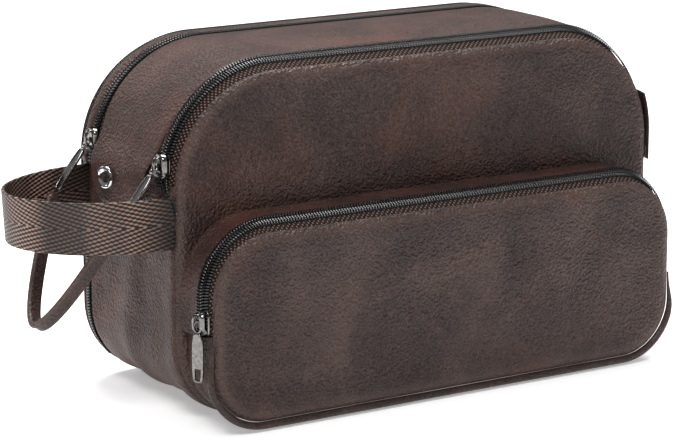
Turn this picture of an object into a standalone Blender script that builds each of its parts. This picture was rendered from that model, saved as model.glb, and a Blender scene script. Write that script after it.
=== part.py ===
"""Leather wash bag: a boxy body with two top zips, a lift-up lid, a zipped back panel, a front pocket,
a side grab handle of webbing, and a leather strap that joins the two top zip pulls.

Frame: metres, +Z up, X along the bag's length, Y from front to back. The origin is the middle of the
main body's flat base. Depths (the word used below) are measured inward from a wall's outer outline.
"""

import math

import bmesh
import bpy
from mathutils import Matrix, Vector

GAP = 0.0003  # clearance left between neighbouring pieces

# Main body
HALF_LENGTH = 0.135
HEIGHT = 0.168
TOP_RADIUS = 0.046
BASE_RADIUS = 0.038
FRONT_FACE = -0.046  # outer face of the front panel
BACK_FACE = 0.0523  # outer face of the back panel
LEATHER = 0.0018
PANEL = 0.002
CLOTH = 0.0008
ARC_STEPS = 12

# Zips: two halves of a nylon coil on woven tape, either side of a centre line
FRONT_ZIP_Y = -0.0365
REAR_ZIP_Y = 0.033
BACK_ZIP_Y = 0.046
POCKET_ZIP_Y = -0.065
COIL_NEAR = 0.0009  # from the centre line to a coil half's inner edge
COIL_FAR = 0.0030
COIL_DEPTH = -0.0004
COIL_THICK = 0.0022
TAPE_NEAR = 0.0011
TAPE_DEPTH = 0.0021
ZIP_LOW_LEFT = 0.1135  # the two top zips' lower ends on the left side
ZIP_END_STEPS = 2  # on the right side their coils end this many arc steps above the corner's foot

# Side walls
LEFT_PANEL_TOP = 0.113
RIGHT_PANEL_TOP = 0.0997
REAR_SEAM_Y = 0.0426

# Lid: the strip between the top zips, with a tongue that hangs over the left side
LID_FRONT_Y = -0.0331
LID_REAR_Y = 0.0296
LID_HINGE = Vector((0.1353, 0.0, 0.100))
TONGUE_END = 0.096
TONGUE_FRONT_Y = -0.022
TONGUE_REAR_Y = 0.025
TONGUE_PROUD = 0.0065
TONGUE_SETTLED = 0.113  # below this height the tongue stands fully proud of the side
TONGUE_FLUSH = 0.128  # above this height it lies flush with the outline
TONGUE_WIDE = 0.147  # above this height it has the lid's full width

# Snap fastener on the tongue
SNAP_Y = 0.0065
SNAP_Z = 0.1095
SNAP_SIDES = 20

# Front pocket
POCKET_HALF = 0.130
POCKET_BASE = 0.004
POCKET_TOP = 0.099
POCKET_TOP_RADIUS = 0.035
POCKET_BASE_RADIUS = 0.027
POCKET_FACE = -0.073
POCKET_HINGE_Z = 0.046
PIPING_RADIUS = 0.0018

# Sliders and their pull tabs
SLIDER_HALF = 0.0055
WING_HALF = 0.0045
INNER_WING_HALF = 0.0026
NECK_HALF = 0.0006
TAB_LENGTH = 0.028
TAB_HALF = 0.003
TAB_THICK = 0.0014
TAB_FORK = 0.0030  # from the pivot to the closed end of the fork
TAB_PIVOT_OUT = 0.0040  # the pivot's height over the outline
TOP_SLIDER_Z = HEIGHT - TOP_RADIUS
TOP_TAB_LEAN = math.radians(38)
BACK_SLIDER_Z = 0.050
POCKET_SLIDER_Z = 0.054

# Webbing handle
WEBBING_HALF = 0.01225
WEBBING_THICK = 0.0016
HANDLE_PIVOT = Vector((-0.1483, 0.0, 0.0965))
HANDLE_REACH = 0.047
HANDLE_FRONT_Y = -0.0432
HANDLE_REAR_Y = 0.0403
ANCHOR_STEP = WEBBING_THICK + GAP

# Leather strap between the top pull tabs
STRAP_DROP = 0.060
STRAP_LEAN = math.radians(27)
STRAP_HALF = 0.003
STRAP_THICK = 0.003
STRAP_POWER = 1.7  # shapes the loop: 1 is a sharp V, 2 a round bowl

BROWN = (0.060, 0.042, 0.038)
DARK_BROWN = (0.035, 0.025, 0.022)
TAPE_BROWN = (0.075, 0.055, 0.047)
BLACK = (0.012, 0.012, 0.013)
WEB_BROWN = (0.095, 0.075, 0.062)
STEEL = (0.42, 0.41, 0.40)
CHROME = (0.78, 0.78, 0.78)
LINING = (0.09, 0.085, 0.08)


def clear_scene():
    for obj in list(bpy.data.objects):
        bpy.data.objects.remove(obj, do_unlink=True)


def material(name, colour, roughness, metallic=0.0):
    """A plain Principled surface, shared by the sub-parts of one kind."""
    mat = bpy.data.materials.new(name)
    mat.use_nodes = True
    shader = mat.node_tree.nodes["Principled BSDF"]
    shader.inputs["Base Color"].default_value = (*colour, 1.0)
    shader.inputs["Roughness"].default_value = roughness
    shader.inputs["Metallic"].default_value = metallic
    return mat


def place(bm, name, mat, pivot=(0, 0, 0), smooth=False):
    """Turns a bmesh into a named object whose origin is at pivot."""
    bmesh.ops.recalc_face_normals(bm, faces=bm.faces)
    bmesh.ops.translate(bm, verts=bm.verts, vec=-Vector(pivot))
    mesh = bpy.data.meshes.new(name)
    bm.to_mesh(mesh)
    bm.free()
    mesh.materials.append(mat)
    if smooth:
        mesh.shade_smooth()
        mesh.set_sharp_from_angle(angle=math.radians(40))
    obj = bpy.data.objects.new(name, mesh)
    obj.location = pivot
    bpy.context.collection.objects.link(obj)
    return obj


# Outlines. A station is a point on an outline in the XZ plane with its outward direction.


def arc(cx, cz, radius, start, end, steps=ARC_STEPS):
    """Stations along an arc, from start to end in degrees, both included."""
    out = []
    for i in range(steps + 1):
        a = math.radians(start + (end - start) * i / steps)
        out.append((cx + radius * math.cos(a), cz + radius * math.sin(a), math.cos(a), math.sin(a)))
    return out


def over(half, top, radius, low_left, low_right):
    """Up the left side, over the top and down the right side."""
    left = arc(radius - half, top - radius, radius, 180, 90)
    right = arc(half - radius, top - radius, radius, 90, 0)
    return [(-half, low_left, -1.0, 0.0)] + left + right + [(half, low_right, 1.0, 0.0)]


def under(half, base, radius, high_left, high_right):
    """Down the left side, along the bottom and up the right side."""
    left = arc(radius - half, base + radius, radius, 180, 270)
    right = arc(half - radius, base + radius, radius, 270, 360)
    return [(-half, high_left, -1.0, 0.0)] + left + right + [(half, high_right, 1.0, 0.0)]


def body_outline():
    middle = HEIGHT - TOP_RADIUS
    top = over(HALF_LENGTH, HEIGHT, TOP_RADIUS, middle, middle)[1:-1]
    bottom = under(HALF_LENGTH, 0.0, BASE_RADIUS, BASE_RADIUS, BASE_RADIUS)[1:-1]
    return top + bottom[::-1]


def pocket_outline():
    middle = POCKET_TOP - POCKET_TOP_RADIUS
    top = over(POCKET_HALF, POCKET_TOP, POCKET_TOP_RADIUS, middle, middle)[1:-1]
    low = POCKET_BASE + POCKET_BASE_RADIUS
    bottom = under(POCKET_HALF, POCKET_BASE, POCKET_BASE_RADIUS, low, low)[1:-1]
    return top + bottom[::-1]


def inset(stations, depth):
    return [(x - nx * depth, z - nz * depth) for x, z, nx, nz in stations]


# Solids


def plate(name, mat, outline, y_near, y_far, pivot=(0, 0, 0)):
    """A flat panel: an XZ outline extruded along Y."""
    bm = bmesh.new()
    face = bm.faces.new([bm.verts.new((x, y_near, z)) for x, z in outline])
    grown = bmesh.ops.extrude_face_region(bm, geom=[face])
    moved = [v for v in grown["geom"] if isinstance(v, bmesh.types.BMVert)]
    bmesh.ops.translate(bm, verts=moved, vec=(0, y_far - y_near, 0))
    return place(bm, name, mat, pivot)


def ribbon(bm, rows):
    """A chain of quads through rows of points."""
    rings = [[bm.verts.new(p) for p in row] for row in rows]
    for here, there in zip(rings, rings[1:]):
        for k in range(len(here) - 1):
            bm.faces.new((here[k], here[k + 1], there[k + 1], there[k]))


def solidify(obj, thick, offset):
    mod = obj.modifiers.new("thickness", "SOLIDIFY")
    mod.thickness = thick
    mod.offset = offset
    mod.use_even_offset = True


def wall(name, mat, stations, y_near, y_far, depth, thick, pivot=(0, 0, 0)):
    """A band that follows stations, between two Y values and two depths."""
    bm = bmesh.new()
    rings = []
    for x, z, nx, nz in stations:
        ring = []
        for y, d in ((y_near, depth), (y_far, depth), (y_far, depth + thick), (y_near, depth + thick)):
            ring.append(bm.verts.new((x - nx * d, y, z - nz * d)))
        rings.append(ring)
    skin(bm, rings)
    return place(bm, name, mat, pivot, smooth=True)


def skin(bm, rings):
    """Closes a solid over a row of rings of equal length, with a cap at each end."""
    count = len(rings[0])
    for here, there in zip(rings, rings[1:]):
        for k in range(count):
            n = (k + 1) % count
            bm.faces.new((here[k], here[n], there[n], there[k]))
    bm.faces.new(rings[0])
    bm.faces.new(rings[-1][::-1])


def box(name, mat, low, high, pivot=(0, 0, 0)):
    bm = bmesh.new()
    size = Vector(high) - Vector(low)
    middle = (Vector(high) + Vector(low)) / 2
    bmesh.ops.create_cube(bm, size=1.0, matrix=Matrix.Translation(middle) @ Matrix.Diagonal((*size, 1.0)))
    return place(bm, name, mat, pivot)


def disc(name, mat, profile, pivot=(0, 0, 0)):
    """A piece turned about the snap's axis. The profile lists (x, radius) from one end to the other."""
    bm = bmesh.new()
    rings = []
    for x, radius in profile:
        ring = []
        for k in range(SNAP_SIDES):
            a = 2 * math.pi * k / SNAP_SIDES
            ring.append(bm.verts.new((x, SNAP_Y + radius * math.cos(a), SNAP_Z + radius * math.sin(a))))
        rings.append(ring)
    skin(bm, rings)
    return place(bm, name, mat, pivot, smooth=True)


def joint_empty(name, pivot, children):
    """Parents a moving group to an empty on its joint's axis."""
    empty = bpy.data.objects.new(name, None)
    empty.location = pivot
    bpy.context.collection.objects.link(empty)
    for child in children:
        child.parent = empty
        child.matrix_parent_inverse = Matrix.Translation(-Vector(pivot))
    return empty


# Main body


def main_body(leather, lining):
    """Front panel, side and bottom walls, rear strip, divider, linings and the board in the base."""
    front = inset(body_outline(), 0.0)
    plate("front_panel", leather, front, FRONT_FACE, FRONT_FACE + PANEL)
    seam = FRONT_FACE + PANEL + GAP
    corner = HALF_LENGTH - BASE_RADIUS
    left = [(-HALF_LENGTH, LEFT_PANEL_TOP, -1.0, 0.0)] + arc(-corner, BASE_RADIUS, BASE_RADIUS, 180, 270)
    right = arc(corner, BASE_RADIUS, BASE_RADIUS, 270, 360) + [(HALF_LENGTH, RIGHT_PANEL_TOP, 1.0, 0.0)]
    wall("left_side_panel", leather, left, seam, REAR_SEAM_Y, 0.0, LEATHER)
    wall("right_side_panel", leather, right, seam, REAR_SEAM_Y, 0.0, LEATHER)
    low = (GAP - corner, seam, 0.0)
    high = (corner - GAP, BACK_FACE - PANEL - GAP, LEATHER)
    box("bottom_panel", leather, low, high)
    strip_low = LEFT_PANEL_TOP + GAP
    strip = over(HALF_LENGTH, HEIGHT, TOP_RADIUS, strip_low, RIGHT_PANEL_TOP + GAP)
    wall("rear_strip", leather, strip, REAR_ZIP_Y + COIL_FAR + GAP, REAR_SEAM_Y, 0.0, LEATHER)
    plate("divider_panel", lining, inset(body_outline(), 0.006), 0.0379, 0.0379 + CLOTH)
    plate("front_lining", lining, inset(body_outline(), 0.005), seam, seam + CLOTH)
    trough = under(HALF_LENGTH, 0.0, BASE_RADIUS, 0.098, 0.096)
    wall("main_lining", lining, trough, seam + CLOTH + GAP, 0.0379 - GAP, 0.0042, CLOTH)
    board_low = (-0.093, -0.041, LEATHER + GAP)
    board_high = (0.093, 0.036, 0.0042 - GAP)
    box("base_board", material("board", DARK_BROWN, 0.8), board_low, board_high)


def zip_half(label, outline, coil_outline, centre, side, tape_to, tape_mat, coil_mat, pivot=(0, 0, 0)):
    """One half of a zip. side is +1 or -1: which way in Y the half lies from the centre line."""
    edges = sorted((centre + side * TAPE_NEAR, tape_to))
    tape = wall(label + "_tape", tape_mat, outline, *edges, TAPE_DEPTH, CLOTH, pivot)
    edges = sorted((centre + side * COIL_NEAR, centre + side * COIL_FAR))
    coil = wall(label + "_coil", coil_mat, coil_outline, *edges, COIL_DEPTH, COIL_THICK, pivot)
    return [tape, coil]


def top_zip_outline():
    """The full path of the two top zips, down to the fold on the right side."""
    return over(HALF_LENGTH, HEIGHT, TOP_RADIUS, ZIP_LOW_LEFT, RIGHT_PANEL_TOP + GAP)


def top_coil_outline():
    return top_zip_outline()[: -1 - ZIP_END_STEPS]


def back_zip_outline():
    """From low on the left bottom corner, over the top, to low on the right bottom corner."""
    corner = HALF_LENGTH - BASE_RADIUS
    left = arc(-corner, BASE_RADIUS, BASE_RADIUS, 225, 180, 6)
    right = arc(corner, BASE_RADIUS, BASE_RADIUS, 360, 315, 6)
    return left + over(HALF_LENGTH, HEIGHT, TOP_RADIUS, 0.1, 0.1)[1:-1] + right


def body_zips(tape, coil, leather):
    """The zip halves sewn to the body, and the leather tabs over the top zips' right-hand ends."""
    coils = top_coil_outline()
    tapes = top_zip_outline()
    seam = FRONT_FACE + PANEL + GAP
    zip_half("front_zip", tapes, coils, FRONT_ZIP_Y, -1, seam, tape, coil)
    zip_half("rear_zip", tapes, coils, REAR_ZIP_Y, 1, 0.0405, tape, coil)
    zip_half("back_zip", back_zip_outline(), back_zip_outline(), BACK_ZIP_Y, -1, 0.0408, tape, coil)
    for label, near, far in (("front", -0.0455, -0.0350), ("rear", 0.0300, 0.0380)):
        low = (HALF_LENGTH + GAP, near, 0.095)
        high = (HALF_LENGTH + 0.0023, far, coils[-1][1] - 0.0015)
        box(label + "_zip_end_tab", leather, low, high)


# Lid


def tongue_lift(z):
    """How far the lid stands proud of the outline at a height on the left side."""
    t = min(max((z - TONGUE_SETTLED) / (TONGUE_FLUSH - TONGUE_SETTLED), 0.0), 1.0)
    return TONGUE_PROUD * (1 - t * t * (3 - 2 * t))


def lid_edges(z):
    """The lid's front and rear edges at a height on the left side, with the tongue's rounded end."""
    t = min(max((z - TONGUE_END) / (TONGUE_WIDE - TONGUE_END), 0.0), 1.0)
    near = TONGUE_FRONT_Y + (LID_FRONT_Y - TONGUE_FRONT_Y) * t
    far = TONGUE_REAR_Y + (LID_REAR_Y - TONGUE_REAR_Y) * t
    end_radius = 0.012
    up = min((z - TONGUE_END) / end_radius, 1.0)
    tuck = end_radius * (1 - math.sqrt(1 - (1 - up) ** 2))
    return near + tuck, far - tuck


def lid_strip(leather):
    """One leather strip from the tongue's end, over the top, to the fold on the right side."""
    heights = [TONGUE_END + h for h in (0.0004, 0.002, 0.005, 0.009, 0.014, 0.019, 0.023)]
    tongue = [(-HALF_LENGTH, z, -1.0, 0.0) for z in heights]
    rest = over(HALF_LENGTH, HEIGHT, TOP_RADIUS, ZIP_LOW_LEFT, LID_HINGE.z + GAP)[1:]
    bm = bmesh.new()
    rings = []
    for x, z, nx, nz in tongue + rest:
        lift = tongue_lift(z) if x < 0 else 0.0
        near, far = lid_edges(z) if x < 0 else (LID_FRONT_Y, LID_REAR_Y)
        ring = []
        for y, d in ((near, -lift), (far, -lift), (far, LEATHER - lift), (near, LEATHER - lift)):
            ring.append(bm.verts.new((x - nx * d, y, z - nz * d)))
        rings.append(ring)
    skin(bm, rings)
    return place(bm, "lid_strip", leather, LID_HINGE, smooth=True)


def lid(leather, lining, tape, coil, chrome):
    """The lid strip with its lining, its two zip halves, and the snap's cap and socket."""
    pieces = [lid_strip(leather)]
    inner = over(HALF_LENGTH, HEIGHT, TOP_RADIUS, TOP_SLIDER_Z, 0.103)[6:]
    cloth = wall("lid_lining", lining, inner, -0.0315, 0.028, 0.0032, CLOTH, LID_HINGE)
    pieces.append(cloth)
    coils = top_coil_outline()
    pieces += zip_half("lid_front_zip", coils, coils, FRONT_ZIP_Y, 1, -0.028, tape, coil, LID_HINGE)
    pieces += zip_half("lid_rear_zip", coils, coils, REAR_ZIP_Y, -1, 0.023, tape, coil, LID_HINGE)
    outer = -HALF_LENGTH - TONGUE_PROUD - GAP
    dome = [(outer, 0.0052), (outer - 0.0008, 0.0052), (outer - 0.0017, 0.0042), (outer - 0.0021, 0.0022)]
    pieces.append(disc("snap_cap", chrome, dome, LID_HINGE))
    inner_face = LEATHER - HALF_LENGTH - TONGUE_PROUD + GAP
    socket = [(inner_face, 0.005), (inner_face + 0.0012, 0.005)]
    pieces.append(disc("snap_socket", chrome, socket, LID_HINGE))
    joint_empty("lid_hinge", LID_HINGE, pieces)


def snap_base(chrome):
    """The snap's stud on the left side panel and its post plate inside the panel."""
    face = -HALF_LENGTH - GAP
    disc("snap_stud", chrome, [(face, 0.0045), (face - 0.0008, 0.0045), (face - 0.0022, 0.0026)])
    inside = LEATHER - HALF_LENGTH + GAP
    disc("snap_post", chrome, [(inside, 0.0045), (inside + 0.0008, 0.0045)])


# Back panel


def back(leather, lining, tape, coil):
    """The zipped back panel, hinged along its bottom edge, with its lining and its zip half."""
    pivot = Vector((0.0, BACK_FACE, 0.0))
    near = BACK_FACE - PANEL
    pieces = [plate("back_panel", leather, inset(body_outline(), 0.0), near, BACK_FACE, pivot)]
    cloth = near - GAP - CLOTH
    pieces.append(plate("back_lining", lining, inset(body_outline(), 0.007), cloth, near - GAP, pivot))
    path = back_zip_outline()
    pieces += zip_half("back_panel_zip", path, path, BACK_ZIP_Y, 1, near - GAP, tape, coil, pivot)
    joint_empty("back_hinge", pivot, pieces)


# Front pocket


def pocket_box(leather, lining, tape, coil):
    """The pocket's fixed walls: gussets, lower front, piping, lining, zip half and end stubs."""
    upper = over(POCKET_HALF, POCKET_TOP, POCKET_TOP_RADIUS, POCKET_HINGE_Z + GAP, POCKET_HINGE_Z + GAP)
    lower = under(POCKET_HALF, POCKET_BASE, POCKET_BASE_RADIUS, POCKET_HINGE_Z, POCKET_HINGE_Z)
    wall_rear = FRONT_FACE - GAP
    zip_edge = POCKET_ZIP_Y + COIL_FAR + GAP
    wall_front = POCKET_FACE + PANEL + GAP
    wall("pocket_gusset", leather, upper, zip_edge, wall_rear, 0.0, LEATHER)
    wall("pocket_bottom_gusset", leather, lower, wall_front, wall_rear, 0.0, LEATHER)
    top = POCKET_HINGE_Z - GAP
    front = under(POCKET_HALF, POCKET_BASE, POCKET_BASE_RADIUS, top, top)
    plate("pocket_lower_front", leather, inset(front, 0.0), POCKET_FACE, POCKET_FACE + PANEL)
    cloth = FRONT_FACE - 2 * GAP - CLOTH
    plate("pocket_lining", lining, inset(pocket_outline(), 0.004), cloth, cloth + CLOTH)
    path = pocket_zip_outline()
    zip_half("pocket_zip", path, path, POCKET_ZIP_Y, 1, -0.055, tape, coil)
    for label, side in (("left", -1), ("right", 1)):
        xs = sorted((side * (POCKET_HALF + 0.0007), side * (POCKET_HALF + 0.0025)))
        box("pocket_zip_stub_" + label, leather, (xs[0], -0.0695, 0.0410), (xs[1], -0.0605, 0.0475))


def pocket_zip_outline():
    low = POCKET_HINGE_Z + 0.0023
    return over(POCKET_HALF, POCKET_TOP, POCKET_TOP_RADIUS, low, low)


def piping(leather):
    """A round leather cord sewn around the pocket's lower edge."""
    end = POCKET_HINGE_Z - 0.002
    path = under(POCKET_HALF, POCKET_BASE, POCKET_BASE_RADIUS, end, end)
    curve = bpy.data.curves.new("pocket_piping", "CURVE")
    curve.dimensions = "3D"
    curve.bevel_depth = PIPING_RADIUS
    curve.bevel_resolution = 2
    curve.use_fill_caps = True
    curve.materials.append(leather)
    spline = curve.splines.new("POLY")
    points = inset(path, -PIPING_RADIUS - GAP)
    spline.points.add(len(points) - 1)
    for point, (x, z) in zip(spline.points, points):
        point.co = (x, POCKET_FACE + 0.0015, z, 1.0)
    obj = bpy.data.objects.new("pocket_piping", curve)
    bpy.context.collection.objects.link(obj)


def pocket_flap(leather, lining, tape, coil):
    """The pocket's upper front, which folds down about the line between its zip's two ends."""
    pivot = Vector((0.0, POCKET_FACE - 0.0002, POCKET_HINGE_Z))
    low = POCKET_HINGE_Z + GAP
    shape = over(POCKET_HALF, POCKET_TOP, POCKET_TOP_RADIUS, low, low)
    face = POCKET_FACE + PANEL
    pieces = [plate("pocket_flap", leather, inset(shape, 0.0), POCKET_FACE, face, pivot)]
    cloth_low = POCKET_HINGE_Z + 0.003
    cloth_shape = over(POCKET_HALF, POCKET_TOP, POCKET_TOP_RADIUS, cloth_low, cloth_low)
    cloth = inset(cloth_shape, 0.006)
    pieces.append(plate("pocket_flap_lining", lining, cloth, face + GAP, face + GAP + CLOTH, pivot))
    path = pocket_zip_outline()
    pieces += zip_half("pocket_flap_zip", path, path, POCKET_ZIP_Y, -1, face + GAP, tape, coil, pivot)
    joint_empty("pocket_hinge", pivot, pieces)


# Sliders and pull tabs


def slider(name, mat, side, wall_x, y, z, pivot):
    """A slider on a side wall: outer wing with its tab bridge, neck, and inner wing.

    side is +1 on the right wall and -1 on the left. Sections run from the inside outward, each with
    its depth, its half width in Y, and its lower and upper ends from the slider's middle.
    """
    sections = (
        (0.0054, INNER_WING_HALF, -SLIDER_HALF, SLIDER_HALF),
        (0.0042, INNER_WING_HALF, -SLIDER_HALF, SLIDER_HALF),
        (0.0042, NECK_HALF, 0.0006 - SLIDER_HALF, 0.0031 - SLIDER_HALF),
        (-0.0009, NECK_HALF, 0.0006 - SLIDER_HALF, 0.0031 - SLIDER_HALF),
        (-0.0009, WING_HALF, -SLIDER_HALF, SLIDER_HALF),
        (-0.0021, WING_HALF, -SLIDER_HALF, SLIDER_HALF),
        (-0.0026, WING_HALF - 0.0005, 0.0005 - SLIDER_HALF, SLIDER_HALF - 0.0005),
        (-0.0026, 0.0009, -0.0022, 0.0022),
        (-0.0046, 0.0009, -0.0022, 0.0022),
        (-0.0052, 0.0009, -0.0014, 0.0014),
    )
    bm = bmesh.new()
    rings = []
    for depth, half, low, high in sections:
        x = wall_x - side * depth
        corners = ((y - half, z + low), (y + half, z + low), (y + half, z + high), (y - half, z + high))
        rings.append([bm.verts.new((x, cy, cz)) for cy, cz in corners])
    skin(bm, rings)
    return place(bm, name, mat, pivot)


def pull_tab(name, mat, pivot, lean):
    """A flat forked tab. It hangs from its pivot, leaning outward to -X by lean."""
    prong = 0.0012
    outline = (
        (-TAB_HALF, 0.0010),
        (-prong, 0.0010),
        (-prong, -TAB_FORK),
        (prong, -TAB_FORK),
        (prong, 0.0010),
        (TAB_HALF, 0.0010),
        (TAB_HALF, 0.0015 - TAB_LENGTH),
        (TAB_HALF - 0.0015, -TAB_LENGTH),
        (0.0015 - TAB_HALF, -TAB_LENGTH),
        (-TAB_HALF, 0.0015 - TAB_LENGTH),
    )
    bm = bmesh.new()
    face = bm.faces.new([bm.verts.new((-TAB_THICK / 2, y, z)) for y, z in outline])
    grown = bmesh.ops.extrude_face_region(bm, geom=[face])
    moved = [v for v in grown["geom"] if isinstance(v, bmesh.types.BMVert)]
    bmesh.ops.translate(bm, verts=moved, vec=(TAB_THICK, 0, 0))
    obj = place(bm, name, mat)
    obj.rotation_euler = (0.0, lean, 0.0)
    obj.location = pivot
    return obj


def top_pull_pivot(y):
    return Vector((-HALF_LENGTH - TAB_PIVOT_OUT, y, TOP_SLIDER_Z))


def pulls(steel):
    """The four sliders with their pull tabs."""
    corner = (TOP_RADIUS - HALF_LENGTH, 0.0, TOP_SLIDER_Z)
    for label, y in (("front_zip", FRONT_ZIP_Y), ("rear_zip", REAR_ZIP_Y)):
        slider(label + "_slider", steel, -1, -HALF_LENGTH, y, TOP_SLIDER_Z, corner)
        pull_tab(label + "_pull", steel, top_pull_pivot(y), TOP_TAB_LEAN)
    middle = (HALF_LENGTH, BACK_ZIP_Y, BACK_SLIDER_Z)
    slider("back_zip_slider", steel, 1, *middle, middle)
    pull_tab("back_zip_pull", steel, (HALF_LENGTH + TAB_PIVOT_OUT, *middle[1:]), 0.0)
    middle = (-POCKET_HALF, POCKET_ZIP_Y, POCKET_SLIDER_Z)
    slider("pocket_zip_slider", steel, -1, *middle, middle)
    pull_tab("pocket_zip_pull", steel, (-POCKET_HALF - TAB_PIVOT_OUT, *middle[1:]), 0.0)


def strap_points(steps=24):
    """The strap's middle line, a rounded V in a leaning plane, and the plane's normal."""
    out = Vector((-math.sin(TOP_TAB_LEAN), 0, -math.cos(TOP_TAB_LEAN)))
    end = top_pull_pivot(0.0) + out * (TAB_LENGTH + GAP)
    down = Vector((-math.sin(STRAP_LEAN), 0, -math.cos(STRAP_LEAN)))
    points = []
    for i in range(steps + 1):
        v = 2 * i / steps - 1
        y = (FRONT_ZIP_Y + REAR_ZIP_Y) / 2 + v * (REAR_ZIP_Y - FRONT_ZIP_Y) / 2
        drop = STRAP_THICK / 2 + STRAP_DROP * (1 - abs(v) ** STRAP_POWER)
        points.append(end + down * drop + Vector((0, y, 0)))
    return points, Vector((down.z, 0, -down.x)), end


def pull_strap(leather):
    """A stitched leather strap that hangs in a loop from the ends of the two top pull tabs."""
    points, normal, end = strap_points()
    bm = bmesh.new()
    ribbon(bm, [(p - normal * STRAP_HALF, p + normal * STRAP_HALF) for p in points])
    obj = place(bm, "pull_strap", leather, end)
    solidify(obj, STRAP_THICK, 0.0)


# Handle


def webbing_end(steps=6):
    """How far along X past the pivot, and the half height there, round a webbing end."""
    out = []
    for i in range(1, steps + 1):
        a = math.pi / 2 * i / (steps + 0.5)
        out.append((WEBBING_HALF * math.sin(a), WEBBING_HALF * math.cos(a)))
    return out


def webbing(name, mat, route, pivot):
    """A vertical strip of webbing through (x, y, half height) points."""
    bm = bmesh.new()
    rows = []
    for x, y, half in route:
        rows.append(((x, y, HANDLE_PIVOT.z - half), (x, y, HANDLE_PIVOT.z + half)))
    ribbon(bm, rows)
    obj = place(bm, name, mat, pivot)
    solidify(obj, WEBBING_THICK, 0.0)
    return obj


def handle(web):
    """The grab loop, and the two ends sewn into the left side's front and rear seams."""
    start = [(HANDLE_PIVOT.x + d, HANDLE_FRONT_Y, half) for d, half in webbing_end()[::-1]]
    finish = [(HANDLE_PIVOT.x + d, HANDLE_REAR_Y, half) for d, half in webbing_end()]
    centre = (HANDLE_FRONT_Y + HANDLE_REAR_Y) / 2
    swing = (HANDLE_REAR_Y - HANDLE_FRONT_Y) / 2
    loop = []
    steps = 28
    for i in range(steps + 1):
        a = math.pi * i / steps
        x = HANDLE_PIVOT.x - HANDLE_REACH * math.sin(a)
        loop.append((x, centre - swing * math.cos(a), WEBBING_HALF))
    webbing("handle_webbing", web, start + loop + finish, HANDLE_PIVOT)
    for label, y in (("front", HANDLE_FRONT_Y - ANCHOR_STEP), ("rear", HANDLE_REAR_Y + ANCHOR_STEP)):
        root_x = -HALF_LENGTH - 0.0008
        route = [(root_x, y, WEBBING_HALF), (HANDLE_PIVOT.x, y, WEBBING_HALF)]
        route += [(HANDLE_PIVOT.x - d, y, half) for d, half in webbing_end()]
        webbing("handle_" + label + "_anchor", web, route, (0, 0, 0))


def build():
    clear_scene()
    leather = material("leather", BROWN, 0.5)
    dark_leather = material("leather_trim", DARK_BROWN, 0.5)
    lining = material("lining", LINING, 0.85)
    tape = material("zip_tape", TAPE_BROWN, 0.85)
    coil = material("zip_coil", BLACK, 0.45)
    web = material("webbing", WEB_BROWN, 0.6)
    steel = material("zip_metal", STEEL, 0.25, 1.0)
    chrome = material("snap_metal", CHROME, 0.12, 1.0)
    main_body(leather, lining)
    body_zips(tape, coil, dark_leather)
    lid(leather, lining, tape, coil, chrome)
    snap_base(chrome)
    back(leather, lining, tape, coil)
    pocket_box(leather, lining, tape, coil)
    piping(dark_leather)
    pocket_flap(leather, lining, tape, coil)
    pulls(steel)
    pull_strap(dark_leather)
    handle(web)


build()
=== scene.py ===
import math

import bpy
import numpy as np
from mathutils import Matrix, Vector


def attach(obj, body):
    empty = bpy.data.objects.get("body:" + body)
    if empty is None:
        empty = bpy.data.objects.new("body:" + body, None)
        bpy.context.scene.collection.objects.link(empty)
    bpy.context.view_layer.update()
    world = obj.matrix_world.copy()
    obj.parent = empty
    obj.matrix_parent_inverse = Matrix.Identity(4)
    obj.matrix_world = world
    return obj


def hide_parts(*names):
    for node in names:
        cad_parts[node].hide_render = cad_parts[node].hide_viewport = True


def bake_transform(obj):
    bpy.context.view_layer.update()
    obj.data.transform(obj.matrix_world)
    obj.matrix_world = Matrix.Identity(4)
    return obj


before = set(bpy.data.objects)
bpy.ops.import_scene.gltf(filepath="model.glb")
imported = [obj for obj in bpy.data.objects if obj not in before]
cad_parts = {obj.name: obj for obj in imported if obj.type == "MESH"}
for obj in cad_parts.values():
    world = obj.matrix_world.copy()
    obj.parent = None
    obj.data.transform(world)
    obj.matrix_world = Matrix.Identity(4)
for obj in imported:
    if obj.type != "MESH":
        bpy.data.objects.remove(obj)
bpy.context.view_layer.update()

# Studio. The bag stands on a plain pale floor under large soft lights, and the camera looks slightly
# down at its front left corner from well away, as a long lens does.
AIM = Vector((-0.0138, 0.0, 0.0737))
CAMERA_AWAY = 1.3644
CAMERA_AZIMUTH = math.radians(31.51)
CAMERA_ELEVATION = math.radians(13.51)

camera_data = bpy.data.cameras.new("camera")
camera_data.sensor_width = 36.0
camera_data.lens = 146.74
camera_data.shift_x = -0.0136
camera_data.shift_y = -0.0046
camera = bpy.data.objects.new("camera", camera_data)
bpy.context.collection.objects.link(camera)
towards = Vector((-math.sin(CAMERA_AZIMUTH) * math.cos(CAMERA_ELEVATION),
                  -math.cos(CAMERA_AZIMUTH) * math.cos(CAMERA_ELEVATION), math.sin(CAMERA_ELEVATION)))
camera.location = AIM + towards * CAMERA_AWAY
camera.rotation_euler = (-towards).to_track_quat("-Z", "Y").to_euler()
bpy.context.scene.camera = camera
bpy.context.scene.view_settings.view_transform = "Standard"

world = bpy.data.worlds.new("studio")
world.use_nodes = True
sky = world.node_tree.nodes["Background"]
sky.inputs["Color"].default_value = (1.0, 1.0, 1.0, 1.0)
seen = world.node_tree.nodes.new("ShaderNodeLightPath")
bright = world.node_tree.nodes.new("ShaderNodeMapRange")
bright.inputs["To Min"].default_value = 0.21
bright.inputs["To Max"].default_value = 1.0
world.node_tree.links.new(seen.outputs["Is Camera Ray"], bright.inputs["Value"])
world.node_tree.links.new(bright.outputs["Result"], sky.inputs["Strength"])
bpy.context.scene.world = world

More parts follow.
